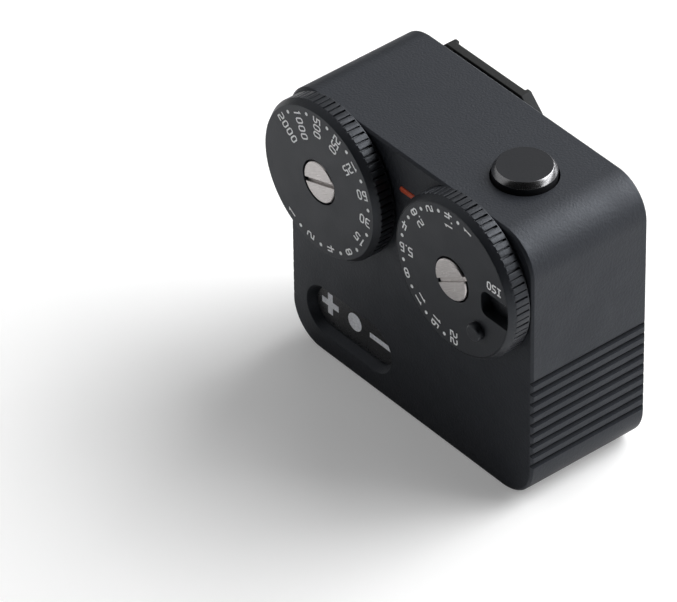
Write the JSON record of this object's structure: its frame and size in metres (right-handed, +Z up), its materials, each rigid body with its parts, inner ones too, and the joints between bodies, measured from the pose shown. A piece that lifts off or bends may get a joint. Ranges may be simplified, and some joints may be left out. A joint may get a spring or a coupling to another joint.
{
  "type": "shoe mount light meter",
  "caption": "Compact light meter for a camera's accessory shoe, with knurled exposure dials on the face, a measuring button on the edge, a lit indicator slot and a shoe foot.",
  "frame": {"origin": "centre of the housing's resting face, which is the edge with the sensor window", "axes": "+X to the right along the dial face, +Y from the dials to the shoe foot, +Z up to the measuring button"},
  "size_m": [0.0454, 0.0251, 0.0402],
  "materials": {
    "body_paint": "fine-grained satin charcoal anodising",
    "dial_black": "satin black anodising, turned",
    "foot_black": "satin black anodising",
    "button_black": "satin black anodising with a polished chamfer",
    "screw_silver": "turned, brushed",
    "steel": "plain",
    "brass": "turned",
    "spring_steel": "drawn wire",
    "contact": "plated",
    "black_plastic": "moulded",
    "grey_plastic": "moulded",
    "window_black": "smooth, dark",
    "light_grey": "diffusing",
    "led": "clear epoxy",
    "index_orange": "filled paint",
    "board_green": "solder mask",
    "chip": "moulded",
    "rubber": "matt",
    "glass": "clear"
  },
  "bodies": {
    "meter": {"housing": "body_paint", "base_plate": "body_paint", "base_screws": "steel", "foot_neck": "foot_black", "shoe_foot": "foot_black", "foot_screws": "steel", "foot_backing_plate": "steel", "battery_cell": "steel", "battery_holder": "black_plastic", "holder_screws": "steel", "battery_contact_minus": "contact", "battery_contact_plus": "contact", "circuit_board": "board_green", "board_screws": "steel", "board_chips": "chip", "shutter_encoder": "grey_plastic", "aperture_encoder": "grey_plastic", "shutter_bush": "brass", "aperture_bush": "brass", "shutter_click_ball": "steel", "aperture_click_ball": "steel", "shutter_click_spring": "spring_steel", "aperture_click_spring": "spring_steel", "button_guide": "grey_plastic", "button_switch": "grey_plastic", "sensor_window": "glass", "sensor_bezel": "black_plastic", "photodiode": "chip", "sensor_board": "board_green", "indicator_window": "window_black", "indicator_light_guide": "light_grey", "indicator_baffle": "black_plastic", "indicator_leds": "led", "index_mark": "index_orange"},
    "shutter_dial_body": {"shutter_dial": "dial_black", "shutter_dial_screw": "screw_silver", "shutter_shaft": "steel", "shutter_clip": "steel"},
    "aperture_dial_body": {"aperture_dial": "dial_black", "aperture_dial_screw": "screw_silver", "aperture_shaft": "steel", "aperture_clip": "steel"},
    "film_speed_plate": {"iso_scale_plate": "dial_black", "iso_peg": "dial_black"},
    "button": {"button_cap": "button_black", "button_spring": "spring_steel", "switch_plunger": "contact"},
    "cover_thread": {"cover_gasket": "rubber"},
    "battery_cover_body": {"battery_cover": "foot_black"}
  },
  "joints": [
    {"name": "shutter_dial_turn", "type": "hinge", "parent": "meter", "child": "shutter_dial_body", "pos_m": [-0.0128, -0.0089, 0.02935], "axis": [0, -1, 0], "range_deg": [-120, 144]},
    {"name": "aperture_dial_turn", "type": "hinge", "parent": "meter", "child": "aperture_dial_body", "pos_m": [0.0114, -0.0089, 0.02935], "axis": [0, -1, 0], "range_deg": [-111.25, 89]},
    {"name": "film_speed_set", "type": "hinge", "parent": "aperture_dial_body", "child": "film_speed_plate", "pos_m": [0.0114, -0.0089, 0.02935], "axis": [0, -1, 0], "range_deg": [-89, 66.75]},
    {"name": "button_press", "type": "slide", "parent": "meter", "child": "button", "axis": [0, 0, -1], "range_m": [0, 0.0005], "stiffness_N_per_m": 800, "springref_m": -0.001, "deforming": ["button_spring"]},
    {"name": "cover_lift", "type": "slide", "parent": "meter", "child": "cover_thread", "axis": [0, 1, 0], "range_m": [0, 0.001]},
    {"name": "cover_turn", "type": "hinge", "parent": "cover_thread", "child": "battery_cover_body", "pos_m": [0.01105, 0.0089, 0.0185], "axis": [0, 1, 0], "range_deg": [0, 120]}
  ],
  "couplings": [
    {"joint": "cover_turn", "follows": "cover_lift", "rad_per_m": 2094.4}
  ]
}
